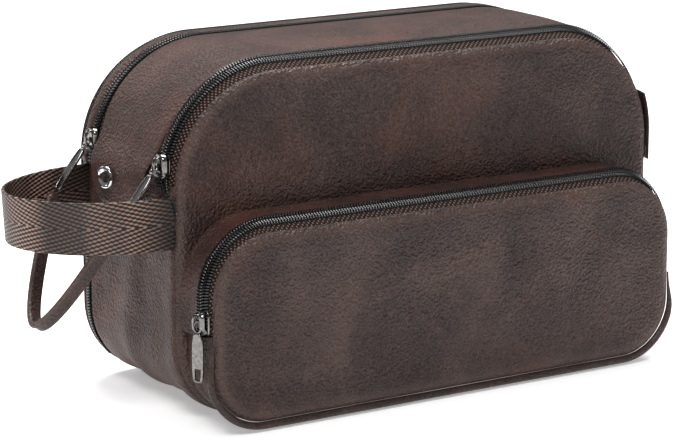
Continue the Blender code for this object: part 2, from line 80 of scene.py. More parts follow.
for light_name, place, size, power in (
    ("key_light", (-0.9, -0.9, 1.5), (0.7, 0.7), 25.0),
    ("top_light", (0.3, 0.4, 1.5), (1.2, 0.5), 36.0),
    ("right_light", (1.5, -0.7, 0.6), (0.4, 1.0), 1.5),
    ("back_light", (-0.5, 1.6, 0.9), (0.8, 0.6), 6.0),
):
    light_data = bpy.data.lights.new(light_name, "AREA")
    light_data.shape = "RECTANGLE"
    light_data.size, light_data.size_y = size
    light_data.energy = power
    light_data.specular_factor = 0.55
    light = bpy.data.objects.new(light_name, light_data)
    light.location = place
    light.rotation_euler = (AIM - Vector(place)).to_track_quat("-Z", "Y").to_euler()
    bpy.context.collection.objects.link(light)


def linear(code):
    """An sRGB hex colour as linear RGBA."""
    parts = [int(code[i : i + 2], 16) / 255 for i in (1, 3, 5)]
    return (*[c / 12.92 if c <= 0.04045 else ((c + 0.055) / 1.055) ** 2.4 for c in parts], 1.0)


def add_node(tree, kind, settings=None, inputs=None, ramp=None):
    """Adds one shader node, with its settings, its input values or links, and the stops of its ramp."""
    made = tree.nodes.new("ShaderNode" + kind)
    for key, value in (settings or {}).items():
        setattr(made, key, value)
    for key, value in (inputs or {}).items():
        if isinstance(value, bpy.types.NodeSocket):
            tree.links.new(value, made.inputs[key])
        else:
            made.inputs[key].default_value = value
    for k, (position, colour) in enumerate(ramp or ()):
        stop = made.color_ramp.elements[k] if k < 2 else made.color_ramp.elements.new(position)
        stop.position, stop.color = position, colour
    return made


def new_material(name, roughness=0.5, metallic=0.0, **fixed):
    """An empty material with its Principled shader; fixed sets the shader's own sockets."""
    made = bpy.data.materials.new(name)
    made.use_nodes = True
    shader = made.node_tree.nodes["Principled BSDF"]
    shader.inputs["Roughness"].default_value = roughness
    shader.inputs["Metallic"].default_value = metallic
    for key, value in fixed.items():
        shader.inputs[key.replace("_", " ")].default_value = value
    return made, made.node_tree, shader

def noise(tree, vector, scale, detail, **more):
    """A noise texture's value at a vector."""
    inputs = {"Vector": vector, "Scale": scale, "Detail": detail, **more}
    return add_node(tree, "TexNoise", inputs=inputs).outputs["Fac"]

def mapped(tree, value, low, high, to_low=0.0, to_high=1.0):
    """A value taken from one range to another, and kept inside it."""
    ends = {"From Min": low, "From Max": high, "To Min": to_low, "To Max": to_high}
    return add_node(tree, "MapRange", inputs={"Value": value, **ends}).outputs["Result"]

def mixed(tree, amount, under, code, blend="MIX"):
    """A colour with another, given by its sRGB code, laid over it."""
    settings = {"data_type": "RGBA", "blend_type": blend}
    return add_node(tree, "Mix", settings, {0: amount, 6: under, 7: linear(code)}).outputs[2]

def ramped(tree, factor, *stops):
    """A colour ramp of (position, sRGB code) stops."""
    stops = [(position, linear(code)) for position, code in stops]
    return add_node(tree, "ValToRGB", inputs={"Fac": factor}, ramp=stops).outputs["Color"]

def calc(tree, operation, *values):
    """One arithmetic step on numbers or links."""
    return add_node(tree, "Math", {"operation": operation}, dict(enumerate(values))).outputs["Value"]

def bumped(tree, height, strength, distance, **more):
    """The normal of a surface raised by a height."""
    inputs = {"Strength": strength, "Distance": distance, "Height": height, **more}
    return add_node(tree, "Bump", inputs=inputs).outputs["Normal"]

def wire(tree, shader, **links):
    """Links sockets to the shader's inputs."""
    for key, value in links.items():
        tree.links.new(value, shader.inputs[key.replace("_", " ")])


# Matt white paper, lit a little from below so that it stays pale.
floor_paper, tree, shader = new_material("studio_paper", 0.6, Emission_Color=(1.0, 1.0, 1.0, 1.0),
                                         Emission_Strength=0.36)
grain = add_node(tree, "TexNoise", inputs={"Scale": 40.0, "Detail": 3.0}).outputs["Fac"]
wire(tree, shader, Base_Color=ramped(tree, grain, (0.3, "#f6f6f6"), (0.7, "#fafafa")))
bpy.ops.object.select_all(action="DESELECT")
bpy.ops.mesh.primitive_plane_add(size=12.0, location=(0.0, 0.0, -0.0006))
bpy.context.object.name = "studio_floor"
bpy.context.object.data.materials.append(floor_paper)

# Front panel. One piece of brown imitation leather with a pulled-up, oiled look: polyurethane skin on
# knit backing. Its edge is turned back over a soft filler and sewn to the zip's tape, so it stands proud.
HALF_LENGTH = 0.135
HEIGHT = 0.168
TOP_RADIUS = 0.057
BASE_RADIUS = 0.038
FRONT_FACE = -0.046
SKIN = 0.0013  # thickness of one layer of the leather
ZIP_HALF_LENGTH = 0.1372  # the zips stand out a little at both ends
FRONT_DROP = 0.0055  # the front panel's edge lies this far inside the outline of the zips


def leather(name, base, dark, light, red, roughness, relief=1.0):
    """Imitation leather: cloudy oiled colour, red where the top coat is thin, fine grain, short creases."""
    made, tree, shader = new_material(name, roughness, Specular_IOR_Level=0.26)
    coords = add_node(tree, "TexCoord").outputs["Object"]
    clouds = noise(tree, coords, 24.0, 5.0, Roughness=0.6, Distortion=0.6)
    colour = ramped(tree, clouds, (0.30, dark), (0.74, light), (0.50, base))
    shifted = add_node(tree, "Mapping", inputs={"Vector": coords, "Location": (0.31, 0.17, 0.05)})
    patches = noise(tree, shifted.outputs["Vector"], 17.0, 4.0, Roughness=0.55, Distortion=0.9)
    colour = mixed(tree, mapped(tree, patches, 0.53, 0.72, 0.0, 0.42), colour, red)
    flecks = noise(tree, coords, 1100.0, 3.0, Roughness=0.7)
    colour = mixed(tree, mapped(tree, flecks, 0.44, 0.64, 0.0, 0.9), colour, "#372d2a", "SCREEN")
    edge = add_node(tree, "Attribute", {"attribute_name": "rubbed"})
    colour = mixed(tree, edge.outputs["Fac"], colour, "#5a4741")
    shine = mapped(tree, clouds, 0.3, 0.7, roughness + 0.07, roughness - 0.07)
    pores = add_node(tree, "TexVoronoi", {"feature": "SMOOTH_F1"}, {"Vector": coords, "Scale": 820.0})
    fine = bumped(tree, pores.outputs["Distance"], 1.0, 0.0010 * relief)
    turned = add_node(tree, "Mapping", inputs={"Vector": coords, "Rotation": (0.4, 0.5, 0.6),
                                               "Scale": (0.6, 1.0, 0.8)})
    wrinkles = noise(tree, turned.outputs["Vector"], 330.0, 5.0, Roughness=0.6, Distortion=1.2)
    where = mapped(tree, noise(tree, coords, 30.0, 1.0), 0.4, 0.65, 0.25, 1.0)
    creases = bumped(tree, calc(tree, "MULTIPLY", wrinkles, where), 0.9, 0.0012 * relief, Normal=fine)
    wire(tree, shader, Base_Color=colour, Roughness=shine, Normal=creases)
    return made

# Oiled imitation leather, embossed and rub-finished: satin, cloudy brown, with a fine pebbled grain.
body_leather = leather("oiled_imitation_leather", "#2b1d1b", "#190f0e", "#41302c", "#4c2a1f", 0.42)
# The same leather from a redder stretch, with a drier finish: walls, base, rear strip, gussets and lid.
wall_leather = leather("oiled_imitation_leather_red", "#331e19", "#1e110f", "#4a312b", "#5a2d1d", 0.52)
# The same leather with a darker finish, used for small trims and the strap.
trim_leather = leather("dark_imitation_leather", "#2a1e1b", "#1a1210", "#3d2e29", "#40281f", 0.40, 0.4)


def lay(name, shape, columns, rows, size, away_from=(0.0, 0.0, 0.08)):
    """A grid whose points are laid by shape(u, v), faces turned away from a point. UVs are in metres."""
    bpy.ops.object.select_all(action="DESELECT")
    bpy.ops.mesh.primitive_grid_add(x_subdivisions=columns, y_subdivisions=rows, size=2, calc_uvs=True)
    piece = bpy.context.object
    piece.name = piece.data.name = name
    mesh = piece.data
    flat = np.empty(len(mesh.vertices) * 3)
    mesh.vertices.foreach_get("co", flat)
    u, v = (flat[0::3] + 1) / 2, (flat[1::3] + 1) / 2
    mesh.vertices.foreach_set("co", np.stack(shape(u, v), axis=1).ravel())
    maps = mesh.uv_layers.active.data
    cut = np.empty(len(maps) * 2)
    maps.foreach_get("uv", cut)
    cut[0::2] *= size[0]
    cut[1::2] *= size[1]
    maps.foreach_set("uv", cut)
    mesh.update()
    out = sum((f.center - Vector(away_from)).normalized().dot(f.normal) * f.area for f in mesh.polygons)
    if out < 0:
        mesh.flip_normals()
    return piece


def apply(piece, kind, **settings):
    """Adds one modifier and applies it."""
    made = piece.modifiers.new(kind.lower(), kind)
    for key, value in settings.items():
        setattr(made, key, value)
    bpy.context.view_layer.objects.active = piece
    bpy.ops.object.modifier_apply(modifier=made.name)


def finish_piece(piece, material, body, slot, *nodes):
    """Gives a piece its material and smooth shading, hides the CAD nodes it replaces and ties it to its CAD body;
    slot is not used.
    """
    piece.data.materials.clear()
    piece.data.materials.append(material)
    bpy.ops.object.select_all(action="DESELECT")
    piece.select_set(True)
    bpy.context.view_layer.objects.active = piece
    bpy.ops.object.shade_smooth_by_angle(angle=math.radians(42))
    if nodes:
        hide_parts(*nodes)
    if body:
        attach(piece, body)
    return piece

def coat(finish, *node_names):
    """Puts a material on CAD nodes that keep their own mesh."""
    for node_name in node_names:
        for material_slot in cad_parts[node_name].material_slots:
            material_slot.link = "OBJECT"
            material_slot.material = finish

def face_out(piece):
    """Turns a piece's faces outwards."""
    bpy.ops.object.select_all(action="DESELECT")
    piece.select_set(True)
    bpy.context.view_layer.objects.active = piece
    bpy.ops.object.mode_set(mode="EDIT")
    bpy.ops.mesh.select_all(action="SELECT")
    bpy.ops.mesh.normals_make_consistent(inside=False)
    bpy.ops.object.mode_set(mode="OBJECT")


def ease(t):
    t = np.clip(t, 0.0, 1.0)
    return t * t * (3 - 2 * t)


def crowd(t, amount=0.75):
    """Moves even steps closer together at both ends."""
    return t - amount * np.sin(2 * np.pi * t) / (2 * np.pi)


def ripple(a, b, seed):
    """Slow uneven waves, between about -1 and 1, for leather that isn't stretched flat."""
    total = 0.0
    for k, (wave_a, wave_b) in enumerate(((0.21, 0.13), (0.11, -0.17), (0.07, 0.09), (0.046, -0.055))):
        total = total + np.sin(2 * np.pi * (a / wave_a + b / wave_b) + seed * (1.3 + k)) / (1.2 + 0.6 * k)
    return total / 2.2


def to_edge(x, z, half, low, high, low_radius, high_radius):
    """Distance from a point to the edge of an upright rounded rectangle, positive inside."""
    ax = np.abs(x)
    flat = np.minimum(np.minimum(half - ax, high - z), z - low)
    up = high_radius - np.hypot(ax - (half - high_radius), z - (high - high_radius))
    down = low_radius - np.hypot(ax - (half - low_radius), z - (low + low_radius))
    in_up = (ax > half - high_radius) & (z > high - high_radius)
    in_down = (ax > half - low_radius) & (z < low + low_radius)
    return np.where(in_up, up, np.where(in_down, down, flat))


def reach(z, half, low, high, low_radius, high_radius):
    """Half the rounded rectangle's width at a height."""
    up = np.clip(z - (high - high_radius), 0, high_radius)
    down = np.clip((low + low_radius) - z, 0, low_radius)
    return half - high_radius + np.sqrt(high_radius**2 - up**2) - (low_radius - np.sqrt(low_radius**2 - down**2))


def panel(name, face, inward, outline, roll, depth, puff, seed, columns=150, rows=100, thick=SKIN):
    """A soft upright panel. Its edge rolls back over a filler; inward is +1 if the bag lies towards +Y."""
    half, low, high, low_radius, high_radius = outline

    def shape(u, v):
        z = low + (high - low) * crowd(v)
        x = reach(z, *outline) * (2 * crowd(u) - 1)
        d = np.maximum(to_edge(x, z, *outline), 0.0)
        back = depth * (1 - np.sqrt(1 - (1 - np.minimum(d / roll, 1.0)) ** 2))
        swell = puff * np.exp(-(((d - 1.4 * roll) / (1.3 * roll)) ** 2))
        loose = 0.0007 * ripple(x, z, seed) * ease((d - roll) / 0.02)
        return x, face + inward * (back - swell + loose), z

    piece = lay(name, shape, columns, rows, (2 * half, high - low), (0.0, face + inward * 0.05, 0.08))

    def rubbed_edge(co):
        inside = np.maximum(to_edge(co[:, 0], co[:, 2], *outline), 0) / roll
        return 0.34 * np.exp(-(((inside - 0.55) / 0.5) ** 2))

    mark_rubbed(piece, rubbed_edge)
    apply(piece, "SOLIDIFY", thickness=thick, offset=-1.0)
    return piece


def mark_rubbed(piece, amount):
    """Stores how far the finish is rubbed light, from 0 to 1, at each point."""
    mesh = piece.data
    co = np.empty(len(mesh.vertices) * 3)
    mesh.vertices.foreach_get("co", co)
    rubbed = mesh.attributes.new("rubbed", "FLOAT", "POINT")
    rubbed.data.foreach_set("value", np.clip(amount(co.reshape(-1, 3)), 0, 1).astype(np.float32))


front_outline = (HALF_LENGTH - 0.0012, 0.0004, HEIGHT - FRONT_DROP, BASE_RADIUS, TOP_RADIUS - 0.003)
front = panel("front_leather", FRONT_FACE, 1, front_outline, 0.0042, 0.0026, 0.0007, 2.1)
finish_piece(front, body_leather, "root", "leather", "front_panel")


# Side and bottom walls. Plain lengths of the same leather, sewn to the front panel along a dark seam and
# left slack, so they fall in soft upright folds. A bellows fold is tucked in below the front slider.
SEAM_FRONT = FRONT_FACE + 0.0023
REAR_SEAM = 0.0426
LEFT_TOP, RIGHT_TOP = 0.113, 0.0997  # the side walls' upper edges


def arc(cx, cz, radius, start, end, steps=26):
    """Points on an arc with their outward directions, from start to end in degrees."""
    a = np.radians(np.linspace(start, end, steps + 1))
    return np.stack([cx + radius * np.cos(a), cz + radius * np.sin(a), np.cos(a), np.sin(a)], axis=1)


def measured(*legs):
    """Joins legs into a route: distance along it, x, z and the outward direction."""
    rows = np.concatenate([np.atleast_2d(np.array(leg, float)) for leg in legs])
    step = np.hypot(np.diff(rows[:, 0]), np.diff(rows[:, 1]))
    keep = np.concatenate([[True], step > 1e-7])
    rows = rows[keep]
    step = np.hypot(np.diff(rows[:, 0]), np.diff(rows[:, 1]))
    return np.column_stack([np.concatenate([[0.0], np.cumsum(step)]), rows])


def over(half, top, radius, low_left, low_right):
    """The route up the left side, over the top and down the right side."""
    return measured((-half, low_left, -1, 0), arc(radius - half, top - radius, radius, 180, 90),
                    arc(half - radius, top - radius, radius, 90, 0), (half, low_right, 1, 0))


def under(half, base, radius, high_left, high_right):
    """The route down the left side, along the bottom and up the right side."""
    return measured((-half, high_left, -1, 0), arc(radius - half, base + radius, radius, 180, 270),
                    arc(half - radius, base + radius, radius, 270, 360), (half, high_right, 1, 0))


def on_route(way, s, y, lift):
    """Points at a distance along a route, a depth y across it, and a height above it."""
    s = np.clip(s, 0, way[-1, 0])
    x, z, nx, nz = (np.interp(s, way[:, 0], way[:, k]) for k in (1, 2, 3, 4))
    long = np.hypot(nx, nz)
    return x + nx / long * lift, y + 0 * s, z + nz / long * lift


def band(name, way, near, far, lift, columns, rows, thick=SKIN, edge=0.0014, tuck=0.0010):
    """Leather laid round a route between two Y values, with both long edges turned in."""

    def shape(u, v):
        s = v * way[-1, 0]
        y = near + (far - near) * crowd(u, 0.8)
        d = np.minimum(y - near, far - y)
        turned = tuck * (1 - np.sqrt(1 - (1 - np.clip(d / edge, 0, 1)) ** 2))
        return on_route(way, s, y, lift(s, y) - turned)

    piece = lay(name, shape, columns, rows, (0.08, way[-1, 0]))
    apply(piece, "SOLIDIFY", thickness=thick, offset=-1.0)
    return piece

def side_lift(side):
    """How far a side wall stands off its outline: folds, a hollow middle, and a bellows at the left."""

    def lift(s, y):
        top = LEFT_TOP if side < 0 else RIGHT_TOP
        z = top - s
        bend = y + 0.006 * np.sin(z * 27 + side)
        folds = 0.0009 * np.sin(2 * np.pi * bend / 0.058 + 1.1)
        folds = folds + 0.0004 * np.sin(2 * np.pi * bend / 0.023 + 9 * z)
        held = ease((y - SEAM_FRONT) / 0.014) * ease((REAR_SEAM - y) / 0.014)
        folds = folds * (0.35 + 0.65 * ease((0.105 - z) / 0.05)) * held
        slack = -0.0010 * ease((y - SEAM_FRONT) / 0.03) * ease((REAR_SEAM - y) / 0.03)
        bellows = 0.0
        if side < 0:
            bellows = -0.0036 * np.exp(-(((y + 0.0325) / 0.0062) ** 2)) * ease((z - 0.080) / 0.03)
        return folds + slack + bellows + 0.0003 * ripple(y * 2, z * 2, 3.0 + side)

    return lift


corner = HALF_LENGTH - BASE_RADIUS
left_way = measured((-HALF_LENGTH, LEFT_TOP, -1, 0), arc(-corner, BASE_RADIUS, BASE_RADIUS, 180, 270))
right_way = measured((HALF_LENGTH, RIGHT_TOP, 1, 0), arc(corner, BASE_RADIUS, BASE_RADIUS, 360, 270))
for side_name, side, way in (("left", -1, left_way), ("right", 1, right_way)):
    wall = band(side_name + "_side_leather", way, SEAM_FRONT, REAR_SEAM, side_lift(side), 90, 80,
                edge=0.003, tuck=0.0016)
    finish_piece(wall, wall_leather, "root", "leather", side_name + "_side_panel")


def base_shape(u, v):
    x = (2 * v - 1) * (corner - 0.0002)
    y = SEAM_FRONT + (0.0498 - SEAM_FRONT) * crowd(u, 0.8)
    return x, y, 0.0004 + 0.0003 * ripple(x, y, 5.0)


base = lay("base_leather", base_shape, 50, 90, (0.094, 2 * corner))
apply(base, "SOLIDIFY", thickness=SKIN, offset=-1.0)
finish_piece(base, wall_leather, "root", "leather", "bottom_panel")

# Rear strip. A narrow band of leather between the rear top zip and the back zip, over the whole top.
strip_way = over(ZIP_HALF_LENGTH, HEIGHT, TOP_RADIUS, 0.1133, 0.100)
rear_strip = band("rear_strip_leather", strip_way, 0.0363, REAR_SEAM,
                  lambda s, y: 0.0006 * np.sin(np.pi * (y - 0.0363) / 0.0063), 14, 200)
finish_piece(rear_strip, wall_leather, "root", "leather", "rear_strip")

# Linings, divider and base board. Plain-woven polyester cloth with a light coating, glued at the edges,
# and a stiff fibre board in the base. They are seen only when the bag is open.
lining_cloth, tree, shader = new_material("woven_polyester_lining", 0.75)
coords = add_node(tree, "TexCoord").outputs["Object"]
weave = add_node(tree, "TexWave", {"bands_direction": "DIAGONAL"},
                 {"Vector": coords, "Scale": 210.0, "Distortion": 0.6}).outputs["Fac"]
both = calc(tree, "MULTIPLY_ADD", weave, 0.4, noise(tree, coords, 60.0, 4.0))
wire(tree, shader, Base_Color=ramped(tree, both, (0.35, "#2f2a29"), (0.85, "#4a4341")),
     Normal=bumped(tree, weave, 0.4, 0.0002))

base_fibre, tree, shader = new_material("pressed_fibre_board", 0.85)
fibres = noise(tree, add_node(tree, "TexCoord").outputs["Object"], 350.0, 5.0)
wire(tree, shader, Base_Color=ramped(tree, fibres, (0.35, "#241d1a"), (0.7, "#3b312c")),
     Normal=bumped(tree, fibres, 0.5, 0.0003))

def lining_panel(name, face, inward, outline, seed, body, node_name):
    """A flat sheet of lining cloth, a little slack, caught in the seam all round."""
    cloth = panel(name, face, inward, outline, 0.003, 0.0004, 0.0, seed, 90, 60, 0.0005)
    finish_piece(cloth, lining_cloth, body, "lining", node_name)


def lining_band(name, way, near, far, seed, body, node_name):
    """A length of lining cloth round the inside of the walls."""
    cloth = band(name, way, near, far, lambda s, y: 0.0005 * ripple(s * 2, y * 3, seed), 40, 140, 0.0005)
    finish_piece(cloth, lining_cloth, body, "lining", node_name)


LINING_RADIUS = TOP_RADIUS - 0.004
lining_panel("front_lining_cloth", -0.0437, 1, (0.1285, 0.006, HEIGHT - 0.0085, 0.032, LINING_RADIUS),
             1.5, "root", "front_lining")
lining_panel("divider_cloth", 0.0379, 1, (0.1285, 0.0065, HEIGHT - 0.0065, 0.032, LINING_RADIUS),
             2.5, "root", "divider_panel")
lining_panel("back_lining_cloth", 0.0501, -1, (0.1275, 0.0075, HEIGHT - 0.0095, 0.031, LINING_RADIUS),
             3.5, "back", "back_lining")
lining_panel("pocket_lining_cloth", -0.0474, 1, (0.1255, 0.0085, 0.0945, 0.023, 0.031),
             4.5, "root", "pocket_lining")
lining_panel("pocket_flap_lining_cloth", -0.0707, 1, (0.1235, 0.0492, 0.0875, 0.002, 0.026),
             5.5, "flap", "pocket_flap_lining")
lining_band("main_lining_cloth", under(HALF_LENGTH - 0.0045, 0.0045, BASE_RADIUS - 0.0045, 0.098, 0.096),
            -0.0424, 0.0376, 6.5, "root", "main_lining")
lining_way = over(ZIP_HALF_LENGTH - 0.003, HEIGHT - 0.003, TOP_RADIUS - 0.003, 0.124, 0.103)
lining_band("lid_lining_cloth", lining_way, -0.0315, 0.028, 7.5, "lid", "lid_lining")
coat(base_fibre, "base_board")

# Zips. Size 5 nylon coil on twill-woven polyester tape. A coil half is one black monofilament wound in
# slanted loops and sewn to its tape; two halves mesh along the centre line. The tape is dyed brown.
PITCH = 0.00148
TOOTH_RADIUS = 0.00056
FRONT_ZIP = -0.0365
REAR_ZIP = 0.033
BACK_ZIP = 0.046
POCKET_ZIP = -0.065

zip_tape, tree, shader = new_material("twill_zip_tape", 0.85, Specular_IOR_Level=0.2)
flat_map = add_node(tree, "TexCoord").outputs["UV"]

def stripes(degrees, scale, distortion=0.0):
    """Parallel ribs on the tape's flat map, turned by an angle."""
    turned = add_node(tree, "Mapping", inputs={"Vector": flat_map, "Rotation": (0.0, 0.0, math.radians(degrees))})
    inputs = {"Vector": turned.outputs["Vector"], "Scale": scale, "Distortion": distortion}
    return add_node(tree, "TexWave", inputs=inputs).outputs["Fac"]

# The ribs of the twill, 1.5 mm apart, are drawn at about twice their real pitch so that they show.
woven = calc(tree, "MULTIPLY", stripes(52, 215.0, 0.4), stripes(-38, 190.0))
brown = ramped(tree, woven, (0.08, "#120b0a"), (0.78, "#7c6156"), (0.34, "#2f221e"))
# The stretch nearest the centre line, under the coil, is painted black for the dark between the coil's
# loops: partly the black coil's own colour, partly painted shade in the gaps.
from_centre = add_node(tree, "SeparateXYZ", inputs={"Vector": flat_map}).outputs["X"]
coil_black_and_gap_shade = mapped(tree, from_centre, 0.0022, 0.0025, 1.0, 0.0)
wire(tree, shader, Base_Color=mixed(tree, coil_black_and_gap_shade, brown, "#0b0909"), Normal=bumped(tree, woven, 0.9, 0.0006))

# Nylon monofilament, drawn and heat-set: black, smooth, with a small hard glint on every loop.
zip_nylon, tree, shader = new_material("black_nylon_coil", 0.27, IOR=1.53, Specular_IOR_Level=0.45)
drawn = noise(tree, add_node(tree, "TexCoord").outputs["Object"], 900.0, 2.0)
wire(tree, shader, Base_Color=ramped(tree, drawn, (0.3, "#0b0a0a"), (0.7, "#1b1818")))

def tube(name, shape, around, along, size=(0.01, 0.1), caps=True, away_from=(0.0, 0.0, 0.0)):
    """A closed skin: the grid's first and last columns meet, and its ends are filled."""
    piece = lay(name, shape, around, along, size, away_from)
    bpy.ops.object.mode_set(mode="EDIT")
    bpy.ops.mesh.select_all(action="SELECT")
    bpy.ops.mesh.remove_doubles(threshold=0.000004)
    if caps:
        bpy.ops.mesh.select_all(action="SELECT")
        bpy.ops.mesh.fill_holes(sides=0)
        bpy.ops.mesh.select_all(action="SELECT")
    bpy.ops.mesh.normals_make_consistent(inside=False)
    bpy.ops.object.mode_set(mode="OBJECT")
    return piece


def reshape(piece, shape):
    """Moves every point of a flat-modelled piece by shape(along, across, up)."""
    mesh = piece.data
    co = np.empty(len(mesh.vertices) * 3)
    mesh.vertices.foreach_get("co", co)
    co = co.reshape(-1, 3)
    mesh.vertices.foreach_set("co", np.stack(shape(co[:, 0], co[:, 1], co[:, 2]), axis=1).ravel())
    mesh.update()


def coil_row(name, side, length):
    """Coil loops in a row along X, straight, for one half of a zip: side is which way it lies in Y."""

    def loop(u, v):
        a = 2 * np.pi * u
        across = 0.0001 + 0.0030 * v
        bulge = TOOTH_RADIUS * (0.78 - 0.30 * np.cos(4 * np.pi * v + 0.3)) * (1 - 0.15 * v)
        along_x = (0.0007 * v if side > 0 else 0.0007 * v + PITCH / 2) + bulge * 1.12 * np.cos(a)
        up = 0.00020 * np.sin(np.pi * v) + bulge * np.sin(a)
        return along_x, side * across, up

    piece = tube(name, loop, 6, 6, away_from=(0.0, side * 0.0016, 0.0))
    apply(piece, "ARRAY", count=int(length / PITCH) - 1, use_relative_offset=False, use_constant_offset=True,
          constant_offset_displace=(PITCH, 0.0, 0.0))
    return piece


def rolled_front(y):
    """How far the front edge of the bag drops away below its outline."""
    return 0.0061 * np.clip((-0.033 - y) / 0.012, 0, 1) ** 1.46


def rolled_back(y):
    return 0.0026 * np.clip((y - 0.0425) / 0.0098, 0, 1) ** 1.5


def rolled_pocket(y):
    return 0.0068 * np.clip((-0.061 - y) / 0.0115, 0, 1) ** 1.8


def flat_edge(y):
    return 0.0 * y


def zip_half(label, way, coil_end, centre, side, tape_to, drop, body, nodes):
    """One half of a zip: its tape, and its coil laid along the centre line. Returns both."""
    lift = 0.0009

    def tape_shape(u, v):
        s = v * way[-1, 0]
        y = centre + side * 0.0004 + (tape_to - centre - side * 0.0004) * u
        return on_route(way, s, y, -drop(y) - lift - 0.0008 * u**3)  # its edge is caught under the leather

    tape = lay(label + "_woven_tape", tape_shape, 8, max(int(way[-1, 0] / 0.0025), 20),
               (abs(tape_to - centre), way[-1, 0]))
    apply(tape, "SOLIDIFY", thickness=0.0005, offset=-1.0)
    finish_piece(tape, zip_tape, body, "zip_tape", nodes[0])
    coil = coil_row(label + "_nylon_coil", side, coil_end)

    def coil_place(along, across, up):
        return on_route(way, along, centre + across, up - drop(centre + across) + 0.0001)

    reshape(coil, coil_place)
    finish_piece(coil, zip_nylon, body, "zip_coil", nodes[1])
    return tape, coil


top_way = over(ZIP_HALF_LENGTH, HEIGHT, TOP_RADIUS, 0.1135, 0.100)
top_coil_end = top_way[-1, 0] - 0.0298
back_way = measured(arc(-corner, BASE_RADIUS, BASE_RADIUS, 225, 180, 12),
                    over(HALF_LENGTH, HEIGHT, TOP_RADIUS, 0.1, 0.1)[1:-1, 1:],
                    arc(corner, BASE_RADIUS, BASE_RADIUS, 360, 315, 12))
zip_half("front_zip_body_side", top_way, top_coil_end, FRONT_ZIP, -1, -0.0449, rolled_front, "root",
         ("front_zip_tape", "front_zip_coil"))
zip_half("front_zip_lid_side", top_way, top_coil_end, FRONT_ZIP, 1, -0.0280, rolled_front, "lid",
         ("lid_front_zip_tape", "lid_front_zip_coil"))
zip_half("rear_zip_body_side", top_way, top_coil_end, REAR_ZIP, 1, 0.0402, flat_edge, "root",
         ("rear_zip_tape", "rear_zip_coil"))
zip_half("rear_zip_lid_side", top_way, top_coil_end, REAR_ZIP, -1, 0.0240, flat_edge, "lid",
         ("lid_rear_zip_tape", "lid_rear_zip_coil"))
zip_half("back_zip_body_side", back_way, back_way[-1, 0], BACK_ZIP, -1, 0.0410, rolled_back, "root",
         ("back_zip_tape", "back_zip_coil"))
zip_half("back_zip_panel_side", back_way, back_way[-1, 0], BACK_ZIP, 1, 0.0512, rolled_back, "back",
         ("back_panel_zip_tape", "back_panel_zip_coil"))

# Below the front slider the body's half of the coil runs on, loose, and curls forward into the seam.
tail = coil_row("front_zip_loose_coil", -1, 0.021)


def tail_place(along, across, up):
    t = np.clip(along / 0.0185, 0, 1.1)
    y = -0.0385 - 0.0062 * ease(t) + across * 0.8
    z = 0.1178 - 0.0150 * t + 0.3 * across
    return -ZIP_HALF_LENGTH + 0.0016 + 0.0012 * t - up - 0.0012 * np.sin(np.pi * t), y, z


reshape(tail, tail_place)
finish_piece(tail, zip_nylon, "root", "zip_coil")

# End tabs. Small folded pieces of the dark leather, sewn over the top zips' ends low on the right side.
for label, near, far in (("front", -0.0455, -0.0366), ("rear", 0.0331, 0.0385)):
    tab_way = over(HALF_LENGTH + 0.0012, HEIGHT, TOP_RADIUS, 0.1, 0.095)
    tab_start, tab_end = tab_way[-1, 0] - 0.036, tab_way[-1, 0] - 0.001

    def tab_shape(u, v, near=near, far=far):
        s = tab_start + (tab_end - tab_start) * crowd(v, 0.7)
        y = near + (far - near) * crowd(u, 0.7)
        d = np.minimum(np.minimum(y - near, far - y), np.minimum(s - tab_start, tab_end - s))
        swell = 0.0009 * np.sqrt(1 - (1 - np.clip(d / 0.0018, 0, 1)) ** 2)
        groove = 0.0004 * np.exp(-(((d - 0.0016) / 0.0004) ** 2))
        sunk = 0.3 * rolled_front(y) - 0.0006 if near < 0 else 0.0
        return on_route(tab_way, s, y, 0.0006 + swell - groove - sunk)

    tab = lay(label + "_zip_end_leather", tab_shape, 26, 50, (far - near, 0.035))
    apply(tab, "SOLIDIFY", thickness=0.0011, offset=-1.0)
    finish_piece(tab, trim_leather, "root", "leather_trim", label + "_zip_end_tab")

# Lid. One strip of leather between the two top zips. At the left it runs on past the zips as a tongue
# with rounded corners, which a snap holds down; its edges are folded in and rubbed light.
TONGUE_END = 0.096
LID_FRONT, LID_REAR = -0.0331, 0.0296


def tongue_lift(z):
    return 0.0043 * (1 - ease((z - 0.113) / 0.016))


def lid_edges(z):
    """The lid's front and rear edges at a height on the left side."""
    t = np.clip((z - TONGUE_END) / 0.051, 0, 1)
    up = np.clip((z - TONGUE_END) / 0.012, 0, 1)
    tuck = 0.012 * (1 - np.sqrt(1 - (1 - up) ** 2))
    return -0.022 - 0.0111 * t + tuck, 0.025 + 0.0046 * t - tuck


lid_way = over(ZIP_HALF_LENGTH, HEIGHT, TOP_RADIUS, TONGUE_END, 0.1003)


def lid_shape(u, v):
    s = lid_way[-1, 0] * np.where(v < 0.1, 0.034 * (v / 0.1) ** 1.7, 0.034 + 0.966 * (v - 0.1) / 0.9)
    x, y, z = on_route(lid_way, s, 0.0, 0.0)
    left = x < 0
    near, far = lid_edges(z)
    near, far = np.where(left, near, LID_FRONT), np.where(left, far, LID_REAR)
    w = crowd(u, 0.8)
    y = near + (far - near) * w
    d = np.minimum(y - near, far - y)
    d = np.where(left, np.minimum(d, z - TONGUE_END + 0.0002), d)
    turned = 0.0011 * (1 - np.sqrt(1 - (1 - np.clip(d / 0.0016, 0, 1)) ** 2))
    crown = 0.0011 * np.sin(np.pi * w) * ease((z - 0.13) / 0.03)
    loose = 0.0005 * ripple(x, y * 1.6, 1.2) * ease(d / 0.012)
    lift = np.where(left, tongue_lift(z), 0.0)
    return on_route(lid_way, s, y, lift + crown + loose - turned)


lid = lay("lid_leather", lid_shape, 60, 280, (0.064, 0.35))


